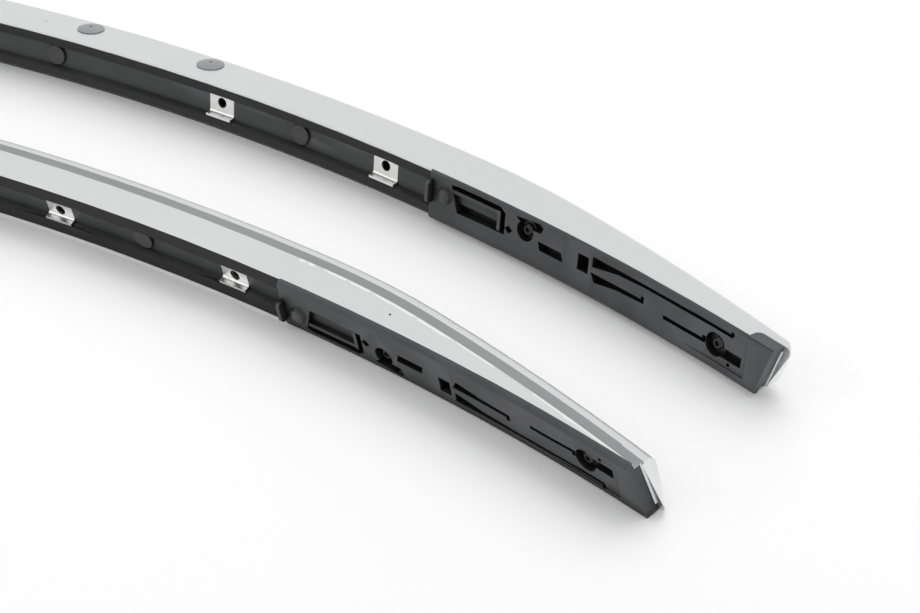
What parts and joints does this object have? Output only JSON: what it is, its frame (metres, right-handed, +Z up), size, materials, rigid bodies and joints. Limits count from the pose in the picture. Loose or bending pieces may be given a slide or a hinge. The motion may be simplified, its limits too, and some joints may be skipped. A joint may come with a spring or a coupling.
{
  "type": "roof side rails",
  "caption": "Pair of car roof side rails, each a bent aluminium section with black moulded feet, a channel liner and sheet brackets below.",
  "frame": {"origin": "middle of the pair's footprint, on the floor that both rails lie on", "axes": "+X along the rails, +Y from the near rail to the far rail and from mounting face to crown, +Z up"},
  "size_m": [1.4622, 0.364, 0.0445],
  "materials": {
    "rail_aluminium": "satin anodised",
    "cap_silver": "satin silver",
    "liner_plastic": "fine grain",
    "foot_plastic": "fine grain",
    "bracket_steel": "zinc plated",
    "pad_rubber": "matt",
    "plug_grey": "satin",
    "screw_steel": "zinc plated",
    "washer_steel": "zinc plated",
    "nut_steel": "zinc plated"
  },
  "bodies": {
    "root": {"near_rail": "rail_aluminium", "near_liner": "liner_plastic", "near_bracket_left_outer": "bracket_steel", "near_bracket_left_inner": "bracket_steel", "near_bracket_right_inner": "bracket_steel", "near_bracket_right_outer": "bracket_steel", "near_pad_left": "pad_rubber", "near_pad_middle": "pad_rubber", "near_pad_right": "pad_rubber", "near_plug_left_outer": "plug_grey", "near_plug_left_inner": "plug_grey", "near_plug_right_inner": "plug_grey", "near_plug_right_outer": "plug_grey", "near_foot_right": "foot_plastic", "near_foot_left": "foot_plastic", "near_cap_right": "cap_silver", "near_cap_left": "cap_silver", "near_foot_screws": "screw_steel", "near_foot_washers": "washer_steel", "near_foot_nuts": "nut_steel", "far_rail": "rail_aluminium", "far_liner": "liner_plastic", "far_bracket_left_outer": "bracket_steel", "far_bracket_left_inner": "bracket_steel", "far_bracket_right_inner": "bracket_steel", "far_bracket_right_outer": "bracket_steel", "far_pad_left": "pad_rubber", "far_pad_middle": "pad_rubber", "far_pad_right": "pad_rubber", "far_plug_left_outer": "plug_grey", "far_plug_left_inner": "plug_grey", "far_plug_right_inner": "plug_grey", "far_plug_right_outer": "plug_grey", "far_foot_right": "foot_plastic", "far_foot_left": "foot_plastic", "far_cap_right": "cap_silver", "far_cap_left": "cap_silver", "far_foot_screws": "screw_steel", "far_foot_washers": "washer_steel", "far_foot_nuts": "nut_steel"}
  },
  "joints": []
}
